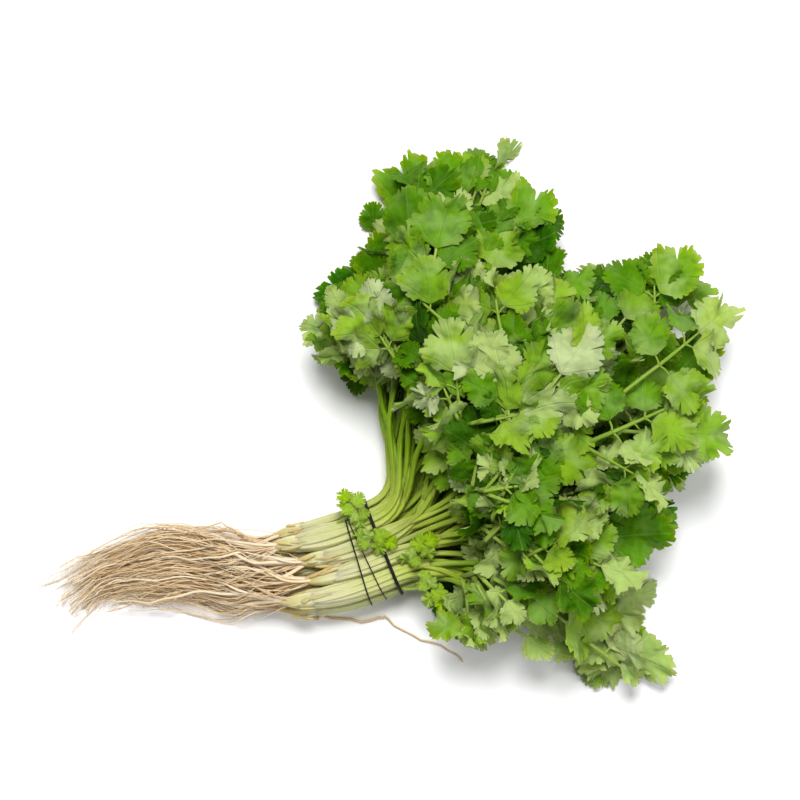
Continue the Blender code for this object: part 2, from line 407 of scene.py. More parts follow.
def leaflet_height(dice, liveliness):
    """How a leaflet folds, cups, droops and ruffles: its height over its plane."""
    fold = dice.uniform(-0.10, 0.45) * liveliness
    cup = dice.uniform(-0.70, 0.40) * liveliness
    droop = dice.uniform(-0.20, 0.55) * liveliness
    skew = dice.uniform(-0.50, 0.50) * liveliness
    ruffle, ruffles = dice.uniform(0.25, 0.70), dice.choice((3, 3, 4, 5, 6))
    phase = dice.uniform(0, tau)

    def height(x, y):
        angle = np.arctan2(x, y - HEART)
        far = np.hypot(x, y - HEART)
        return (fold * (np.sqrt(x * x + 0.003) - 0.055) + cup * x * x - droop * y * y + skew * x * y
                + ruffle * far ** 2 * np.sin(ruffles * angle + phase) * smooth(y / 0.4))
    return height


def leaflet_mesh(name, dice, cuts, liveliness, thickness):
    """A thin closed leaflet: a top and an underside that meet at the toothed edge."""
    rows, notches = leaflet_outline(dice, *cuts)
    height = leaflet_height(dice, liveliness)
    count = len(notches)
    places = []
    for lift in (thickness / 2, -thickness / 2):
        places.append((0.0, 0.0, lift))
        places += [(rows[notch][0], rows[notch][1] * RING_SHARE, lift) for notch in notches]
    edge = len(places)
    places += [(angle, reach, 0.0) for angle, reach in rows]
    verts, uvs = [], []
    for angle, reach, lift in places:
        x, y = reach * sin(angle), HEART + reach * cos(angle)
        verts.append((x, y, float(height(x, y)) + lift))
        uvs.append((x, y))
    faces = []
    for middle in (0, count + 1):
        for i in range(count):
            after = (i + 1) % count
            a, b = middle + 1 + i, middle + 1 + after
            rim = [edge + row for row in range(notches[i], notches[after] + 1 if after else len(rows))]
            rim += [] if after else [edge]
            loops = [(middle, b, a)]
            if len(rim) == 4:
                loops += [(a, rim[1], rim[0]), (a, b, rim[2], rim[1]), (b, rim[3], rim[2])]
            else:
                loops.append((a, b, rim[1], rim[0]))
            faces += [(loop[0], *loop[:0:-1]) if middle else loop for loop in loops]
    mesh = bpy.data.meshes.new(name)
    mesh.from_pydata(verts, [], faces)
    write_leaf_data(mesh, uvs, edge)
    return mesh


def write_leaf_data(mesh, uvs, edge):
    """The leaf's own map, which side each face is on, and a crisp edge between the sides."""
    corners = np.zeros(len(mesh.loops), int)
    mesh.loops.foreach_get("vertex_index", corners)
    layer = mesh.uv_layers.new(name="leaf_map")
    layer.data.foreach_set("uv", (np.array(uvs)[corners] * 0.5 + 0.5).ravel())
    under = np.arange(len(mesh.polygons)) >= len(mesh.polygons) // 2
    write_attribute(mesh, "under", under, domain="FACE")
    ends = np.zeros(len(mesh.edges) * 2, int)
    mesh.edges.foreach_get("vertices", ends)
    write_attribute(mesh, "sharp_edge", (ends.reshape(-1, 2) >= edge).all(axis=1), "BOOLEAN", "EDGE")


class Leaflet:
    """Where one leaflet is, which way its tip and its top point, and how big it is."""

    def __init__(self, base, tip_way, top_way, size, kind, tint, young=0.0):
        self.base, self.size, self.kind, self.tint, self.young = base, size, kind, tint, young
        y = Vector(tip_way).normalized()
        x = y.cross(Vector(top_way)).normalized()
        z = x.cross(y)
        self.turn = tuple(Matrix((x, y, z)).transposed().to_quaternion())


def leaflet_object(name, leaflets):
    """One point per leaflet, with what the leaf tree reads on it."""
    mesh = bpy.data.meshes.new(name)
    mesh.from_pydata([tuple(leaflet.base) for leaflet in leaflets], [], [])
    for key, kind in (("size", "FLOAT"), ("tint", "FLOAT"), ("young", "FLOAT"), ("kind", "INT"),
                      ("turn", "QUATERNION")):
        write_attribute(mesh, key, [getattr(leaflet, key) for leaflet in leaflets], kind)
    return add_object(name, mesh)


def leaf_tree(kinds):
    """Puts a leaflet of the right kind, turn and size on every point."""
    tree, given = new_tree("leaves", (("Leaflet width", "NodeSocketFloat", 1.0),))
    shapes = add_node(tree, "GeometryNodeCollectionInfo",
                      {"Collection": kinds, "Separate Children": True, "Reset Children": True})
    placed = add_node(tree, "GeometryNodeInstanceOnPoints", {
        "Points": given["Geometry"], "Instance": shapes, "Pick Instance": True,
        "Instance Index": attribute_reader(tree, "kind", "INT"),
        "Rotation": attribute_reader(tree, "turn", "QUATERNION"),
        "Scale": times(tree, attribute_reader(tree, "size"), given["Leaflet width"])})
    return finish_tree(tree, placed, given)


def leaflet_kinds(settings):
    """The leaflets that the leaf tree chooses from: older ones, then one finely cut young kind."""
    kinds = bpy.data.collections.new("leaflet_kinds")
    thickness = settings.leaf_thickness / settings.leaflet_width
    for kind in range(LEAFLET_KINDS + 1):
        dice = Random(300 + kind)
        young = kind == LEAFLET_KINDS
        cuts = [dice.uniform(*cut) for cut in (LOBE_CUTS, PART_CUTS, TOOTH_CUTS)]
        shape = leaflet_mesh(f"leaflet_kind_{kind:02d}", dice, YOUNG_CUTS if young else cuts,
                             LIVELINESS[kind % 3], thickness)
        kinds.objects.link(bpy.data.objects.new(shape.name, shape))
    return kinds


def remove_kinds(kinds):
    for shape in list(kinds.objects):
        bpy.data.objects.remove(shape, do_unlink=True)
    bpy.data.collections.remove(kinds)


# ---------------------------------------------------------------- how the plants grow

UP = Vector((0, 0, 1))
STRAY_ROOT_X = ((0, -0.064), (0.3, -0.040), (0.6, -0.008), (1, 0.031))
STRAY_ROOT_Y = ((0, -0.100), (0.3, -0.108), (0.6, -0.108), (1, -0.128))

# (along, radius) of a stalk
STALK_THICKNESS = ((-0.050, 0.0028), (-0.034, 0.0026), (-0.014, 0.0018), (0.010, 0.0015), (0.070, 0.0012),
                   (0.200, 0.0008))
STALK_POINTS = 34
SHEAF_RADIUS = 0.0038       # from the middle of a plant's stalks to the outer ones, at the bands
ARCHED_STALKS = 0.04        # share of the stalks that arch over the leaves instead of under them
GATHER_LENGTH, FREE_LENGTH = 0.026, 0.05    # over which stalks part at the crown, and bend past the bands
STALK_WANDER = 0.0026, 0.0026, 0.0018
LOWEST_LEVEL, LOWEST_STALK = -0.96, 0.002   # level and height of a stalk's middle
PLACES_TRIED = 9            # for a stalk whose leaf would be outside the head
YOUNG_LEAVES = {            # (along, across, degrees) of the small leaves at the bands
    PLANTS[9]: (0.014, -1.05, -60), PLANTS[10]: (0.014, -0.34, 40), PLANTS[11]: (-0.004, 0.27, -10),
    PLANTS[12]: (-0.005, 0.92, 120)}
YOUNG_LEAFLETS = (          # (degrees, distance from the leaf's middle, scale)
    (0, 0.006, 1.2), (62, 0.004, 1.0), (-55, 0.003, 0.9), (118, 0, 0.8), (-140, -0.001, 0.7),
    (170, -0.003, 0.9), (30, 0.001, 1.0), (-95, -0.002, 0.8))
BAYS = (                    # (x, y, half x, half y) of the leafless bays in the head's outline
    (0.066, -0.130, 0.032, 0.044), (0.010, -0.165, 0.050, 0.038), (-0.050, 0.114, 0.043, 0.058),
    (-0.080, 0.030, 0.036, 0.070))
ROOM_LOW, ROOM_HIGH = 0.010, 0.018      # how far past the box's low and high sides leaflets may be set
INNER_SHARE = 0.45          # of the leafy stretch, where the inner leaves end
LEAVES_BELOW = 0.012        # from where the lowest side leaves branch off to where the lowest leaves are
SIDE_LEAF_PLACES = 0.85, 0.68, 0.50, 0.32, 0.14    # as shares of a stalk's leafy stretch
SIDE_LEAF_SIZE = 0.84
LEAF_BEHIND = 0.036         # from the end of a leaf's stalk to the middle of the leaf
MIDRIB_STEPS = 5
LAST_LEAFLET = 0.6          # scale of a leaf's last leaflet where there is no room for a full one
LEAFLET_PAIRS = ((3, 56), (0, 80))      # the midrib's point and the degrees at which each pair stands off
EDGE_ROOM = 0.011           # how far past the sides of the CAD box a leaflet may reach
LEAFLET_REACH = 0.60        # from a leaflet's middle to its tips, for a leaflet one long
SMALLEST_LEAFLET = 0.55     # of its size, what a leaflet keeps there
TIP_CLEARANCE = 0.0025      # height below which no leaflet points
STEEPEST = -0.9, 0.6        # down and up, the way's height for a way one long
ON_FLOOR = 0.010            # height below which leaflets lie flatter
LEAF_TILT, LEAFLET_TILT = 36.0, 30.0    # degrees, spread of the tilt of the leaves and of their leaflets
SIDE_TILT = 0.45            # how far the leaves at the head's edge face outwards


def leafy_along(share, across):
    """Where a share of the leafy stretch of a lane ends, 0 at the stalks and 1 at the leaf tips."""
    start = read(LEAVES_START, across)
    return start + share * (read(REACH, across) - start)


class Stalk:
    """One leaf stalk, from its crown to where its leaf starts."""

    def __init__(self, plant, number, count, settings):
        dice = plant.dice
        angle = tau * number / max(1, count - 1) + dice.uniform(-0.2, 0.2)
        out = SHEAF_RADIUS if number else 0.0
        self.share = ((plant.shares[number] + dice.uniform(0.1, 0.9)) / count) ** 0.85
        self.tint = dice.random()
        level_end = dice.uniform(plant.leaf_low, plant.leaf_high)
        for _ in range(PLACES_TRIED):
            place = (plant.sides[number] + dice.uniform(0, 1)) / count
            across_end = plant.head_across + (2 * place - 1) * plant.head_half
            middle = float(leafy_along(self.share, across_end))
            if not outside(LANES.point(middle, across_end, 0)[0]):
                break
        self.end = max(middle - LEAF_BEHIND, float(read(LEAVES_START, across_end)) - 0.010)
        along = plant.crown + (self.end - plant.crown) * np.linspace(0, 1, STALK_POINTS) ** 1.25
        gathered = 0.45 + 0.55 * smooth((along - plant.crown) / GATHER_LENGTH)
        across = plant.bundle_across + gathered * out * cos(angle) / BUNDLE_WIDE
        level = plant.level + gathered * out * sin(angle) / BUNDLE_THICK
        fanned = smooth(along / LANE_SPREAD)
        across = across + (across_end - across) * fanned
        level = level + (level_end - level) * fanned
        sag = dice.uniform(0.30, 0.70) if dice.random() > ARCHED_STALKS else -0.35
        bow = np.sin(pi * np.clip((along - 0.02) / (self.end - 0.02), 0, 1) ** 1.3)
        level = np.maximum(level - sag * bow, LOWEST_LEVEL)
        points = LANES.point(along, across, level)
        free = 0.12 + 0.88 * smooth((along - 0.004) / FREE_LENGTH)[:, None]
        waves = [np.sin(along * dice.uniform(30, 80) + dice.uniform(0, tau)) for _ in range(3)]
        points += free * np.stack(waves, axis=1) * STALK_WANDER
        points[:, 2] = np.maximum(points[:, 2], LOWEST_STALK)
        self.level, self.across = level_end, across_end
        thickness = read(STALK_THICKNESS, along) * settings.stalk_thickness / STALK_THICKNESS[0][1]
        thickness *= 0.3 + 0.7 * smooth((along - plant.crown) / 0.007)
        self.alongs = along
        self.strand = Strand(points, thickness, np.clip((along - plant.crown) / 0.13, 0, 1), self.tint)
        self.tip = Vector(points[-1])
        self.way = Vector(points[-1] - points[-3]).normalized()


def tilted(vector, dice, spread):
    """A direction turned by a chance angle about a chance axis."""
    axis = Vector((dice.gauss(0, 1), dice.gauss(0, 1), dice.gauss(0, 1))).normalized()
    return Quaternion(axis, radians(dice.gauss(0, spread))) @ vector


def keep_off_floor(base, way, size):
    """The way a leaflet points, raised where its tip would go through the floor."""
    lowest = (TIP_CLEARANCE - base.z) / size
    if way.z < lowest:
        flat = Vector((way.x, way.y, 0)).normalized()
        rise = min(max(lowest, STEEPEST[0]), STEEPEST[1])
        way = flat * (1 - rise * rise) ** 0.5 + Vector((0, 0, rise))
    return way


def fitting_size(base, way, size):
    """A leaflet's size, smaller where it would pass the sides of the box that the bunch fills."""
    longest = size
    for axis in (0, 1):
        for sign, corner in zip((-1, 1), CAD_BOX):
            room = sign * (corner[axis] - base[axis]) + EDGE_ROOM
            longest = min(longest, room / (HEART * sign * way[axis] + LEAFLET_REACH))
    return max(longest, size * SMALLEST_LEAFLET)


def outside(point):
    """Whether a point is well outside the box that the bunch fills, or in a bay of the head's outline."""
    for x, y, half_x, half_y in BAYS:
        if ((point[0] - x) / half_x) ** 2 + ((point[1] - y) / half_y) ** 2 < 1:
            return True
    low, high = CAD_BOX
    return any(not low[axis] - ROOM_LOW < point[axis] < high[axis] + ROOM_HIGH for axis in (0, 1))


class Growth:
    """One plant's stalks, the strands of its leaves, and the leaflets of its inner and outer leaves."""

    def __init__(self, plant, settings):
        count = settings.stalks_per_plant
        self.plant, self.dice, self.settings = plant, plant.dice, settings
        self.strands, self.leaves = [], {"inner": [], "outer": []}
        plant.shares, plant.sides = list(range(count)), list(range(count))
        plant.dice.shuffle(plant.shares)
        plant.dice.shuffle(plant.sides)
        self.stalks = [Stalk(plant, number, count, settings) for number in range(count)]
        for stalk in self.stalks:
            self.grow_stalk_leaves(stalk)
        if plant.name in YOUNG_LEAVES:
            self.grow_young_leaf()

    def grow_stalk_leaves(self, stalk):
        """The leaf at the end of a stalk, and the smaller ones that branch off below it."""
        dice = self.dice
        # Lower leaves get lower tints and so deeper colours, as painted shade; the rest of the tint is
        # random tone.
        tint = dice.uniform(-0.05, 0.75) * 0.65 + 0.45 * (stalk.level * 0.5 + 0.5) - 0.10
        thin = float(stalk.strand.thickness[-1])
        pairs = 2 if dice.random() < 0.45 + 0.3 * stalk.share else 1
        self.grow_leaf(stalk, stalk.tip, stalk.way, stalk.share, thin, 1.0, pairs, tint)
        lowest = float(read(LEAVES_START, stalk.across)) - LEAVES_BELOW
        for back in SIDE_LEAF_PLACES:
            along = lowest + (stalk.end - lowest) * (back + dice.uniform(-0.12, 0.12))
            if along < lowest or dice.random() > self.settings.side_leaves:
                continue
            place = min(int(np.argmin(np.abs(stalk.alongs - along))), STALK_POINTS - 2)
            start = Vector(stalk.strand.points[place])
            way = (Vector(stalk.strand.points[place + 1]) - start).normalized()
            hand = dice.choice((-1, 1)) if stalk.across < 0.8 or stalk.end < 0.10 else -1
            way = Quaternion(UP, radians(hand * dice.uniform(28, 60))) @ way
            way = (way + Vector((0, 0, dice.uniform(0.0, 0.9)))).normalized()
            length = dice.uniform(0.010, 0.026)
            end = start + keep_off_floor(start, way, length) * length
            if outside(end) or outside(end + way * LEAF_BEHIND):
                continue
            bow = (start + end) / 2 + Vector((0, 0, 0.0015))
            widths = thin * 1.05, thin * 0.9, thin * 0.8
            self.strands.append(Strand([start, bow, end], widths, 1.0, stalk.tint))
            self.grow_leaf(stalk, end, way, stalk.share * back, thin * 0.8, SIDE_LEAF_SIZE, 1, tint)

    def grow_leaf(self, stalk, start, way, share, thin, size, pairs, leaf_tone_and_shade):
        """One leaf: its midrib, the short stalks of its leaflets, and the leaflets."""
        dice, across = self.dice, stalk.across
        width = self.settings.leaflet_width * self.settings.leaf_size * size
        flat = Vector((way.x, way.y, 0)).normalized()
        side = Vector((-flat.y, flat.x, 0))
        facing = UP + flat * SIDE_TILT * share ** 2 + side * (across * 0.25)
        facing = tilted(facing.normalized(), dice, LEAF_TILT)
        way = tilted((way * 0.45 + flat * 0.55 + Vector((0, 0, -0.25 * share))).normalized(), dice, 14)
        facing = (facing - way * facing.dot(way)).normalized()
        length = width * dice.uniform(0.30, 0.42) * (pairs + 1)
        points, ways = [start], [way]
        for _ in range(MIDRIB_STEPS):
            way = (way - Vector((0, 0, 0.05)) - facing * 0.03).normalized()
            way = keep_off_floor(points[-1], way, 0.012)
            points.append(points[-1] + way * length / MIDRIB_STEPS)
            ways.append(way)
        self.strands.append(Strand(points, np.linspace(thin, thin * 0.6, len(points)), 1.0, stalk.tint))
        paler = 0.9 * max(-across - 0.30, 0) * min(1, share * 2)
        turned = self.settings.turned_leaves + 0.7 * max(-across - 0.45, 0)
        places = [(MIDRIB_STEPS, 0.0, 1.0)]
        for pair, (place, spread) in enumerate(LEAFLET_PAIRS[:pairs]):
            places += [(place, sign * dice.uniform(spread - 10, spread + 12),
                        dice.uniform(0.76, 0.97) - 0.08 * pair) for sign in (1, -1)]
        for place, turn, scale in places:
            base, along = points[place], ways[place]
            out = Quaternion(facing, radians(turn)) @ along
            if outside(base + out * width * scale * 1.3):
                if turn:
                    continue
                scale *= LAST_LEAFLET
            if turn:
                stem = width * dice.uniform(0.10, 0.24)
                end = base + keep_off_floor(base, out, stem) * stem
                middle = (base + end) / 2 + along * stem * 0.08
                widths = np.array((0.6, 0.5, 0.45)) * thin
                self.strands.append(Strand([base, middle, end], widths, 1.0, stalk.tint))
                base = end
            leaflet_size = width * scale * dice.uniform(0.74, 1.14)
            out = keep_off_floor(base, tilted(out, dice, 11), leaflet_size)
            leaflet_size = fitting_size(base, out, leaflet_size)
            top = tilted(facing, dice, LEAFLET_TILT)
            if base.z < ON_FLOOR:
                top = (top + UP * 2).normalized()
            if dice.random() < turned:
                top = Quaternion(out, radians(dice.uniform(110, 180))) @ top
            tint = min(max(leaf_tone_and_shade + paler + dice.gauss(0, 0.17), 0), 1)
            leaflet = Leaflet(base, out, top, leaflet_size, dice.randrange(LEAFLET_KINDS), tint)
            self.leaves["inner" if share < INNER_SHARE else "outer"].append(leaflet)

    def grow_young_leaf(self):
        """A small finely cut leaf that sprouts through the bundle at the bands."""
        dice = Random(50 + self.plant.row)
        along, across, heading = YOUNG_LEAVES[self.plant.name]
        root = Vector(LANES.point(along - 0.012, across * 0.9, 0.8)[0])
        top = Vector(LANES.point(along, across, 1.0)[0]) + Vector((0, 0, 0.004))
        middle = (root + top) / 2 + Vector((0, 0, 0.001))
        self.strands.append(Strand([root, middle, top], 0.0007, 1.0, 0.2))
        ahead = Vector((cos(radians(heading)), sin(radians(heading)), 0))
        for turn, out, scale in YOUNG_LEAFLETS:
            angle = radians(heading + turn + dice.uniform(-18, 18))
            way = Vector((cos(angle), sin(angle), dice.uniform(-0.4, 0.5)))
            base = top + ahead * out
            base.z += dice.uniform(-0.0015, 0.0015)
            facing = tilted(UP, dice, 32)
            size = self.settings.young_leaf_size * scale * dice.uniform(0.85, 1.15)
            self.leaves["inner"].append(
                Leaflet(base, way, facing, size, LEAFLET_KINDS, 1.0, dice.uniform(0.6, 1.0)))


def all_growth(settings):
    return [Growth(plant, settings) for plant in all_plants()]


# ---------------------------------------------------------------- materials

def new_material(name, colour):
    """A Principled material, its node tree, and its shader's inputs."""
    material = bpy.data.materials.new(name)
    material.use_nodes = True
    material.diffuse_color = (*colour, 1)
    tree = material.node_tree
    shader = tree.nodes["Principled BSDF"].inputs
    shader["Base Color"].default_value = (*colour, 1)
    return material, tree, shader


def reader(tree, name, output="Fac"):
    return add_node(tree, "ShaderNodeAttribute", output=output, attribute_name=name)


def ramp(tree, value, stops):
    """A colour ramp of (place, colour) stops read at a value."""
    node = tree.nodes.new("ShaderNodeValToRGB")
    elements = node.color_ramp.elements
    while len(elements) < len(stops):
        elements.new(0.5)
    for element, (place, colour) in zip(elements, stops):
        element.position = place
        element.color = (*colour, 1)
    tree.links.new(value, node.inputs[0])
    return node.outputs["Color"]


def mixed(tree, share, first, second, blend="MIX"):
    """Two colours mixed by a share."""
    colours = [colour if isinstance(colour, bpy.types.NodeSocket) else (*colour, 1)
               for colour in (first, second)]
    return add_node(tree, "ShaderNodeMix", {0: share, 6: colours[0], 7: colours[1]}, 2,
                    data_type="RGBA", blend_type=blend)


def noise(tree, scale, detail=2.0):
    """Noise on the piece's own coordinates, from 0 to 1."""
    place = add_node(tree, "ShaderNodeTexCoord", output="Object")
    return add_node(tree, "ShaderNodeTexNoise", {"Scale": scale, "Detail": detail, "Vector": place}, "Fac")


def smooth_step(tree, value, low, high):
    """0 up to low, 1 from high on, and an even turn between."""
    return add_node(tree, "ShaderNodeMapRange", {"Value": value, "From Min": low, "From Max": high},
                    "Result", interpolation_type="SMOOTHSTEP")


def bump(tree, height, strength, distance):
    return add_node(tree, "ShaderNodeBump", {"Strength": strength, "Distance": distance, "Height": height})


def vein_pattern(tree):
    """Veins that fan out from a leaflet's base, with finer ones between, from 0 to 1."""
    leaf_map = add_node(tree, "ShaderNodeUVMap", uv_map="leaf_map")
    centred = add_node(tree, "ShaderNodeVectorMath", {0: leaf_map, 1: (2, 2, 0), 2: (-1, -1, 0)},
                       operation="MULTIPLY_ADD")
    x, y = (add_node(tree, "ShaderNodeSeparateXYZ", {0: centred}, axis) for axis in (0, 1))
    angle = math_node(tree, "ARCTAN2", x, y)
    far = math_node(tree, "SQRT", plus(tree, times(tree, x, x), times(tree, y, y)))
    main = fan_veins(tree, angle, far, 7.5, 420.0)
    fine = fan_veins(tree, angle, far, 30.0, 16.0)
    return math_node(tree, "MAXIMUM", main, times(tree, fine, 0.18))


def fan_veins(tree, angle, far, number, sharpness):
    """Lines at even angles that keep an even width: their share of the angle shrinks with distance."""
    wave = math_node(tree, "COSINE", times(tree, angle, number))
    raised = times(tree, plus(tree, wave, 1.0), 0.5)
    narrow = times(tree, times(tree, far, far), sharpness)
    return math_node(tree, "POWER", raised, plus(tree, narrow, 1.5))


def leaf_material(settings):
    """Bright, slightly glossy tops with pale veins and patches of painted sheen, and paler, duller
    undersides.
    """
    material, tree, shader = new_material("coriander_leaf", settings.leaf_colour)
    tint, back = reader(tree, "tint"), reader(tree, "under")
    # Each leaflet's tint picks its top colour; lower leaves have lower tints, a painted shade.
    top = ramp(tree, tint, (
        (0.0, settings.deep_leaf_colour), (0.40, settings.leaf_colour), (0.75, settings.light_leaf_colour),
        (1.0, settings.pale_leaf_and_sheen_colour)))
    veins = vein_pattern(tree)
    mottle = noise(tree, 90.0, 3.0)
    top = mixed(tree, smooth_step(tree, mottle, 0.35, 1.0), top, settings.deep_leaf_colour)
    yellow = times(tree, smooth_step(tree, noise(tree, 22.0, 1.0), 0.45, 0.65), 0.5)
    top = mixed(tree, yellow, top, (1.12, 1.02, 0.5), "MULTIPLY")
    # Painted sheen: pale patches on the lighter tops, standing in for the light that glossy leaves reflect.
    painted_sheen_strength = math_node(tree, "MAXIMUM", times_plus(tree, tint, 0.85, -0.22), 0.0)
    painted_sheen = times(tree, smooth_step(tree, noise(tree, 75.0, 2.0), 0.42, 0.66), painted_sheen_strength)
    top = mixed(tree, painted_sheen, top, settings.pale_leaf_and_sheen_colour)
    top = mixed(tree, times(tree, veins, 0.10), top, settings.vein_colour)
    under = mixed(tree, times(tree, veins, 0.35), settings.underside_colour, settings.vein_colour)
    colour = mixed(tree, back, top, under)
    pucker = times_plus(tree, noise(tree, 160.0, 1.0), 2.2, mottle)
    fill(tree, shader, {
        "Base Color": mixed(tree, reader(tree, "young"), colour, settings.young_colour),
        "Roughness": times_plus(tree, back, 0.22, 0.40), "Specular IOR Level": 0.03,
        "Subsurface Weight": 0.25, "Subsurface Radius": (0.5, 1.0, 0.10), "Subsurface Scale": 0.0015,
        "Normal": bump(tree, times_plus(tree, veins, -0.25, pucker), 0.9, 0.0011)})
    return material


def stalk_material(settings):
    """Whitish at the crown, then yellow-green, with fine ribs and painted shade in their grooves; dry
    scales are ochre.
    """
    material, tree, shader = new_material("coriander_stalk", settings.stalk_colour)
    growth, tint = reader(tree, "growth"), reader(tree, "tint")
    jitter = times_plus(tree, noise(tree, 60.0), 0.18, -0.09)
    colour = ramp(tree, plus(tree, growth, jitter), (
        (0.0, settings.crown_colour), (0.10, settings.crown_colour), (0.42, settings.pale_stalk_colour),
        (0.66, settings.stalk_colour), (0.80, settings.stalk_colour), (1.0, settings.leaf_stem_colour)))
    # A darker copy of the colour, for random streaks and for the painted shade in the rib grooves.
    shade = mixed(tree, 1.0, colour, (0.50, 0.56, 0.35), "MULTIPLY")
    green = smooth_step(tree, times(tree, tint, growth), 0.15, 0.80)
    colour = mixed(tree, times(tree, green, 0.55), colour, settings.green_stalk_colour)
    streaks = times(tree, times(tree, noise(tree, 300.0), tint), 0.9)
    colour = mixed(tree, streaks, colour, shade)
    ribs = add_node(tree, "ShaderNodeVectorMath", {0: reader(tree, "around", "Vector")}, "Value",
                    operation="LENGTH")
    # Painted shade: darker towards the bottom of each groove between the ribs.
    painted_groove_shade = times(tree, math_node(tree, "SUBTRACT", 1.0, ribs), 3.0)
    ribbed = math_node(tree, "GREATER_THAN", ribs, 0.01)
    painted_groove_shade = times(tree, math_node(tree, "MINIMUM", painted_groove_shade, 0.6), ribbed)
    colour = mixed(tree, painted_groove_shade, colour, shade)
    fill(tree, shader, {
        "Base Color": mixed(tree, reader(tree, "dry"), colour, settings.dry_colour),
        "Roughness": 0.38, "Specular IOR Level": 0.15,
        "Subsurface Weight": 0.4, "Subsurface Radius": (0.8, 1.0, 0.3), "Subsurface Scale": 0.004,
        "Normal": bump(tree, noise(tree, 900.0), 0.25, 0.0002)})
    return material


def root_material(settings):
    """Cream roots with tan and brownish stretches, dull and fibrous."""
    material, tree, shader = new_material("coriander_root", settings.root_colour)
    fibres = noise(tree, 700.0)
    blotches = times_plus(tree, noise(tree, 45.0, 3.0), 0.6, -0.2)
    place = plus(tree, times(tree, reader(tree, "tint"), 0.75), blotches)
    colour = ramp(tree, place, (
        (0.0, settings.root_shade), (0.45, settings.root_colour), (0.9, settings.pale_root_colour)))
    fill(tree, shader, {
        "Base Color": mixed(tree, times(tree, fibres, 0.4), colour, settings.root_shade), "Roughness": 0.68,
        "Subsurface Weight": 0.15, "Subsurface Radius": (1.0, 0.7, 0.4), "Subsurface Scale": 0.001,
        "Normal": bump(tree, fibres, 0.5, 0.0003)})
    return material


def band_material(settings):
    """Matt, nearly black rubber with faint dust."""
    material, tree, shader = new_material("band_rubber", settings.band_colour)
    dust = noise(tree, 500.0, 4.0)
    fill(tree, shader, {
        "Base Color": mixed(tree, times(tree, dust, 0.02), settings.band_colour, (0.30, 0.31, 0.26)),
        "Roughness": times_plus(tree, dust, 0.3, 0.4), "Specular IOR Level": 0.12,
        "Normal": bump(tree, dust, 0.3, 0.0002)})
    return material


def floor_material(settings):
    """Plain pale paper."""
    material, tree, shader = new_material("pale_floor", settings.floor_colour)
    fill(tree, shader, {"Roughness": 0.8, "Specular IOR Level": 0.2})
    return material


# ---------------------------------------------------------------- settings

def length_property(name, description, default, low, high, precision=4):
    return FloatProperty(name=name, description=description, default=default, min=low, max=high,
                         precision=precision, unit="LENGTH")


def count_property(name, description, default, low, high):
    return IntProperty(name=name, description=description, default=default, min=low, max=high)


def share_property(name, description, default, low=0, high=1):
    return FloatProperty(name=name, description=description, default=default, min=low, max=high,
                         subtype="FACTOR")


def colour_property(name, description, default):
    return FloatVectorProperty(name=name, description=description, default=default, size=3, min=0, max=1,
                               subtype="COLOR")


class BunchSettings(bpy.types.PropertyGroup):
    """Sizes and colours of the bunch."""

    leaflet_width: length_property("Leaflet width", "Width of a full leaflet", 0.027, 0.01, 0.05)
    leaf_size: share_property("Leaf size", "Scale of every leaflet", 1.05, 0.5, 1.5)
    leaf_thickness: length_property(
        "Leaf thickness", "Thickness of a leaflet at its middle", 0.00032, 0.0001, 0.002, 5)
    turned_leaves: share_property("Turned leaves", "Share of leaflets that show their underside", 0.15)
    side_leaves: share_property(
        "Side leaves", "Share of the places below a leaf where a smaller one branches off", 0.80)
    stalks_per_plant: count_property("Stalks per plant", "Leaf stalks that grow from each crown", 9, 3, 9)
    young_leaf_size: length_property(
        "Young leaflet size", "Length of a leaflet of the small leaves at the bands", 0.0078, 0.003, 0.02)
    stalk_thickness: length_property(
        "Stalk thickness", "Radius of a leaf stalk at its crown", 0.0028, 0.001, 0.006)
    fine_roots: count_property("Fine roots", "Fine roots on each taproot", 46, 0, 80)
    band_thickness: length_property(
        "Band thickness", "Thickness of the upper rubber band", 0.0016, 0.0005, 0.005)
    deep_leaf_colour: colour_property("Deep leaf", "The deepest leaf tops", (0.016, 0.066, 0.001))
    leaf_colour: colour_property("Leaf", "Most leaf tops", (0.074, 0.204, 0.001))
    light_leaf_colour: colour_property("Light leaf", "Lighter leaf tops", (0.210, 0.352, 0.022))
    # also the colour of the painted sheen on the leaf tops
    pale_leaf_and_sheen_colour: colour_property("Pale leaf", "The palest leaf tops", (0.365, 0.455, 0.205))
    vein_colour: colour_property("Vein", "Leaf veins", (0.45, 0.60, 0.22))
    underside_colour: colour_property("Underside", "Leaf undersides", (0.295, 0.405, 0.110))
    young_colour: colour_property("Young leaf", "Young leaves at the bands", (0.21, 0.37, 0.006))
    stalk_colour: colour_property("Stalk", "Stalks beyond the bands", (0.23, 0.38, 0.010))
    green_stalk_colour: colour_property("Green stalk", "The greenest stalks", (0.11, 0.24, 0.004))
    leaf_stem_colour: colour_property("Leaf stem", "Stalks among the leaves", (0.31, 0.43, 0.075))
    pale_stalk_colour: colour_property("Pale stalk", "Stalks at the bands", (0.43, 0.50, 0.080))
    crown_colour: colour_property("Crown", "Stalks at the crown", (0.69, 0.66, 0.39))
    dry_colour: colour_property("Dry scale", "Dry scales and old stalk ends", (0.50, 0.33, 0.10))
    root_colour: colour_property("Root", "Roots", (0.72, 0.56, 0.35))
    pale_root_colour: colour_property("Pale root", "The palest roots", (0.75, 0.68, 0.52))
    root_shade: colour_property("Root shade", "The brownest roots", (0.52, 0.33, 0.15))
    band_colour: colour_property("Band", "Rubber bands", (0.006, 0.0065, 0.008))
    floor_colour: colour_property("Floor", "Floor", (0.90, 0.90, 0.90))


# ---------------------------------------------------------------- operators

FLOOR_EDGE = 4.0            # from the middle to the floor's edge
LAMPS = (("key", (-0.02, 0.70, 1.45), 0.7, 33), ("fill", (1.1, -0.4, 1.3), 1.2, 13))   # place, size, watts
ROOM_LIGHT = 0.20
CAMERA_HEIGHT, CAMERA_LENS = 1.10, 100
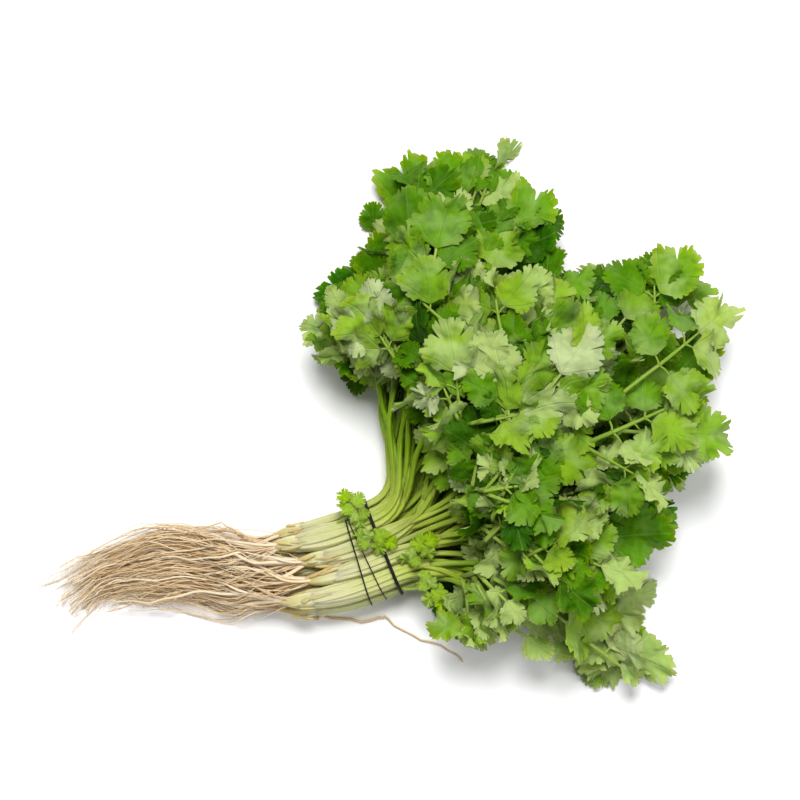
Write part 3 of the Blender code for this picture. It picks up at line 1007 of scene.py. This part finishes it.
# the radius along a crown and how dry it is there
CROWN_THICKNESS = 0.0013, 0.0021, 0.0031, 0.0039, 0.0042, 0.0041, 0.0038, 0.0034, 0.0028, 0.0018
CROWN_DRY = 0.75, 0.85, 0.55, 0.2, 0, 0, 0, 0, 0, 0
SCALES, SCALE_THICKNESS = 11, (0.0004, 0.0010, 0.0009, 0.0006, 0.0002)
SOFT_FLOOR = 0.003          # height below which leaflets are flattened
TAPROOT_THICKNESS = 0.0026, 0.0003      # radius at its crown and at its tip
FINE_ROOTS_THICKNESS = 0.00024, 0.0003, 0.0004, 0.0006
SIDE_ROOTS = 4              # thicker roots that each plant has beside its taproot
ROOT_WANDER = 0.0020, 0.0028, 0.0018
STRAY_ROOT_POINTS = 30
BANDS = {                   # (along, share of the upper band's thickness, slant) of every turn
    "rubber_band_upper": ((0.0, 1, 0.0),),
    "rubber_band_lower": ((-0.0135, 0.45, 0.05), (-0.0095, 0.35, -0.08))}
BAND_POINTS = 97


def finish_piece(piece, node):
    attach(piece, BODY)
    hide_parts(node)


def add_strand_pieces(pieces, material, sides, rib_depth=0.0):
    """Makes a piece of every (name, strands, CAD node)."""
    tree = strand_tree()
    for name, strands, node in pieces:
        piece = strand_object(name, strands)
        apply_tree(piece, tree, Sides=sides, Rib_depth=rib_depth, Material=material)
        finish_piece(piece, node)
    return {"FINISHED"}


class CORIANDER_OT_stage(bpy.types.Operator):
    """Add the pale floor, the soft lights and the camera above"""
    bl_idname = "coriander.stage"
    bl_label = "Stage"

    def execute(self, context):
        mesh = bpy.data.meshes.new("floor")
        corners = [(x * FLOOR_EDGE, y * FLOOR_EDGE, 0) for x, y in ((-1, -1), (1, -1), (1, 1), (-1, 1))]
        mesh.from_pydata(corners, [], [(0, 1, 2, 3)])
        mesh.materials.append(floor_material(context.scene.coriander))
        floor = add_object("floor", mesh)
        for name, place, size, power in LAMPS:
            lamp = bpy.data.lights.new(name, "AREA")
            lamp.shape = "DISK"
            lamp.size = size
            lamp.energy = power
            holder = add_object(name, lamp)
            holder.location = place
            holder.rotation_euler = Vector(place).to_track_quat("Z", "Y").to_euler()
        world = bpy.data.worlds.new("soft_room")
        world.use_nodes = True
        fill(world.node_tree, world.node_tree.nodes["Background"].inputs,
             {"Color": (1, 1, 1, 1), "Strength": ROOM_LIGHT})
        context.scene.world = world
        camera = add_object("camera", bpy.data.cameras.new("camera"))
        camera.data.lens = CAMERA_LENS
        camera.location = (0, 0, CAMERA_HEIGHT)
        context.scene.camera = camera
        context.scene.view_settings.view_transform = "Standard"
        return {"FINISHED"}


class CORIANDER_OT_stalks(bpy.types.Operator):
    """Grow every plant's leaf stalks, from the pale crown to the leaves"""
    bl_idname = "coriander.stalks"
    bl_label = "Stalks"

    def execute(self, context):
        settings = context.scene.coriander
        pieces = []
        for growth in all_growth(settings):
            name = growth.plant.name
            strands = [stalk.strand for stalk in growth.stalks] + growth.strands + self.crown(growth.plant)
            pieces.append((name + "_leaf_stalks", strands, name + "_stems"))
        return add_strand_pieces(pieces, stalk_material(settings), 10, 0.09)

    def crown(self, plant):
        """The swollen base that the stalks grow from, and the dry scales and stalk ends round it."""
        dice = Random(plant.name)
        along = plant.crown + np.linspace(-0.012, 0.020, len(CROWN_THICKNESS))
        points = LANES.point(along, plant.bundle_across, plant.level)
        dry = np.array(CROWN_DRY) * dice.uniform(0.5, 1.1)
        strands = [Strand(points, CROWN_THICKNESS, 0.0, 0.1, dry)]
        count = len(SCALE_THICKNESS)
        for _ in range(SCALES):
            angle = dice.uniform(0, tau)
            start = plant.crown + dice.uniform(-0.009, 0.004)
            along = np.linspace(start, start + dice.uniform(0.004, 0.014), count)
            off = np.linspace(0.0036, dice.uniform(0.0044, 0.0058), count)
            turn = angle + np.linspace(0, dice.uniform(-0.5, 0.5), count)
            across = plant.bundle_across + off * np.cos(turn) / BUNDLE_WIDE
            level = plant.level + off * np.sin(turn) / BUNDLE_THICK
            points = LANES.point(along, across, level)
            points[:, 2] = np.maximum(points[:, 2], 0.001)
            thickness = np.array(SCALE_THICKNESS) * dice.uniform(0.6, 1.1)
            strands.append(Strand(points, thickness, 0.1, 0.5, dice.uniform(0.15, 0.8)))
        return strands


class CORIANDER_OT_leaves(bpy.types.Operator):
    """Set every plant's leaflets on its stalks, and the young leaves at the bands"""
    bl_idname = "coriander.leaves"
    bl_label = "Leaves"

    def execute(self, context):
        settings = context.scene.coriander
        material = leaf_material(settings)
        kinds = leaflet_kinds(settings)
        tree = leaf_tree(kinds)
        for growth in all_growth(settings):
            name = growth.plant.name
            for which, leaflets in growth.leaves.items():
                piece = leaflet_object(f"{name}_{which}_leaflets", leaflets)
                apply_tree(piece, tree, Leaflet_width=1.0, Material=material)
                settle(piece.data)
                finish_piece(piece, f"{name}_leaves_{which}")
        remove_kinds(kinds)
        return {"FINISHED"}


def settle(mesh):
    """Flattens on the floor what would go through it, and squeezes in what would stick out on top."""
    points = np.zeros(len(mesh.vertices) * 3)
    mesh.vertices.foreach_get("co", points)
    z = points[2::3]
    room = SOFT_FLOOR - FLOOR_GAP
    z[:] = np.where(z < SOFT_FLOOR, FLOOR_GAP + room * np.exp((z - SOFT_FLOOR) / room), z)
    z[:] = below_top(z)
    mesh.vertices.foreach_set("co", points)
    mesh.update()


class CORIANDER_OT_roots(bpy.types.Operator):
    """Grow every plant's taproot and its fine roots"""
    bl_idname = "coriander.roots"
    bl_label = "Roots"

    def execute(self, context):
        settings = context.scene.coriander
        pieces = []
        for plant in all_plants():
            strands = self.roots(plant, settings)
            if plant.name == PLANTS[0]:
                strands.append(self.stray_root())
            pieces.append((plant.name + "_roots", strands, plant.name + "_taproot"))
        return add_strand_pieces(pieces, root_material(settings), 6)

    def roots(self, plant, settings):
        """The taproot, a few thicker roots beside it, and the fine ones."""
        dice = plant.dice
        sway = plant.bundle_across * 1.5 + dice.uniform(-0.6, 0.6)
        tap = plant.crown + 0.001
        strands = [self.root(plant, sway, tap, plant.root_tip, 0.45, TAPROOT_THICKNESS, 0.95, 44)]
        rise = 0.5 * (plant.row == len(ROWS) - 1)
        for _ in range(SIDE_ROOTS):
            start = plant.crown - dice.uniform(-0.003, 0.012)
            end = start - dice.uniform(0.040, 0.090)
            thick = dice.uniform(0.0008, 0.0017), TAPROOT_THICKNESS[1]
            strands.append(self.root(plant, sway, start, end, 0.8, thick, dice.uniform(0.7, 1.0), 30, rise))
        for _ in range(settings.fine_roots):
            start = plant.crown + 0.002 - abs(dice.gauss(0, 0.020))
            end = max(start - dice.uniform(0.030, 0.125), dice.uniform(-0.170, -0.120))
            thick = dice.choice(FINE_ROOTS_THICKNESS)
            thick = thick, thick * 0.35
            strands.append(self.root(plant, sway, start, end, 1.0, thick, dice.random() * 0.8, 22))
        return strands

    def stray_root(self):
        """One broken root that lies on the floor beside the bundle."""
        turns = np.linspace(0, 1, STRAY_ROOT_POINTS)
        heights = np.full(STRAY_ROOT_POINTS, 0.0014)
        points = np.column_stack((read(STRAY_ROOT_X, turns), read(STRAY_ROOT_Y, turns), heights))
        points[:, 1] += 0.0012 * np.sin(turns * 23) + 0.0006 * np.sin(turns * 61)
        return Strand(points, 0.0009 - 0.0006 * turns, 0.0, 0.25)

    def root(self, plant, sway, start, end, looseness, thickness, tint, count, rise=0):
        """One root from start back to end, which sways with its plant's other roots and wanders."""
        dice = plant.dice
        along = np.linspace(start, end, count)
        away = smooth((start - along) / 0.030)
        drift = dice.gauss(0, 0.42) * looseness * smooth((start - along) / 0.042)
        lift = (dice.gauss(0, 0.5) * looseness + rise) * away
        across = np.clip(plant.bundle_across * (1 - 0.15 * away) + drift, -1.25, 1.25)
        level = np.clip(plant.level + lift, -0.95, 1.2)
        points = LANES.point(along, across, level)
        points[:, 1] += away * 0.0036 * np.sin(along * 62 + sway + dice.gauss(0, 0.5))
        for axis, reach in enumerate(ROOT_WANDER):
            for rate in (dice.uniform(50, 58), dice.uniform(115, 135), dice.uniform(240, 380)):
                phase = sway + axis * 2 + dice.gauss(0, 0.7)
                points[:, axis] += away * reach * 55 / rate * np.sin(along * rate + phase)
        first, last = thickness
        thickness = first + (last - first) * np.linspace(0, 1, count) ** 0.42
        points[:, 2] = np.maximum(points[:, 2], thickness + FLOOR_GAP)
        return Strand(points, thickness, 0.0, tint)


class CORIANDER_OT_bands(bpy.types.Operator):
    """Stretch the rubber bands round the stalks"""
    bl_idname = "coriander.bands"
    bl_label = "Rubber bands"

    def execute(self, context):
        settings = context.scene.coriander
        grown = all_growth(settings)
        pieces = []
        for name, turns in BANDS.items():
            strands = [self.loop(grown, along, settings.band_thickness / 2 * share, slant)
                       for along, share, slant in turns]
            pieces.append((name + "_loop", strands, name))
        return add_strand_pieces(pieces, band_material(settings), 10)

    def loop(self, grown, along, radius, slant):
        """A taut turn round every stalk at one place along the bundle."""
        angle = radians(float(read(ROOT_HEADING, along)))
        side = np.array((-sin(angle), cos(angle), 0))
        forward = np.array((cos(angle), sin(angle), 0))
        middle = LANES.point(along, 0.0, 0.0)[0]
        middle[2] = 0
        held = []
        for strand in (stalk.strand for growth in grown for stalk in growth.stalks):
            nearest = np.argmin(np.abs((strand.points - middle) @ forward))
            place = strand.points[nearest]
            held.append(((place - middle) @ side, place[2], strand.thickness[nearest]))
        held = np.array(held)
        loop = []
        for turn in np.linspace(0, tau, BAND_POINTS):
            out = np.array((cos(turn), sin(turn)))
            best = held[np.argmax(held[:, :2] @ out + held[:, 2])]
            at = best[:2] + out * (best[2] + radius * 0.8)
            loop.append(middle + side * at[0] + np.array((0, 0, at[1])) + forward * slant * at[0])
        return Strand(loop, radius, 0.0)


class CORIANDER_PT_panel(bpy.types.Panel):
    """The bunch's pieces, one button each"""
    bl_idname = "CORIANDER_PT_panel"
    bl_label = "Coriander Bunch"
    bl_space_type = "VIEW_3D"
    bl_region_type = "UI"
    bl_category = "Bunch"

    def draw(self, context):
        layout = self.layout
        settings = context.scene.coriander
        for key in settings.__annotations__:
            layout.prop(settings, key)
        for operator in OPERATORS:
            layout.operator(operator.bl_idname)


OPERATORS = (CORIANDER_OT_stage, CORIANDER_OT_roots, CORIANDER_OT_stalks, CORIANDER_OT_leaves,
             CORIANDER_OT_bands)
CLASSES = (BunchSettings, *OPERATORS, CORIANDER_PT_panel)


def register():
    for cls in CLASSES:
        bpy.utils.register_class(cls)
    bpy.types.Scene.coriander = PointerProperty(type=BunchSettings)


def unregister():
    del bpy.types.Scene.coriander
    for cls in reversed(CLASSES):
        bpy.utils.unregister_class(cls)


def main():
    register()
    bpy.ops.coriander.stage()
    bpy.ops.coriander.roots()
    bpy.ops.coriander.stalks()
    bpy.ops.coriander.leaves()
    bpy.ops.coriander.bands()
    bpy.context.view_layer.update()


if __name__ == "__main__":
    main()
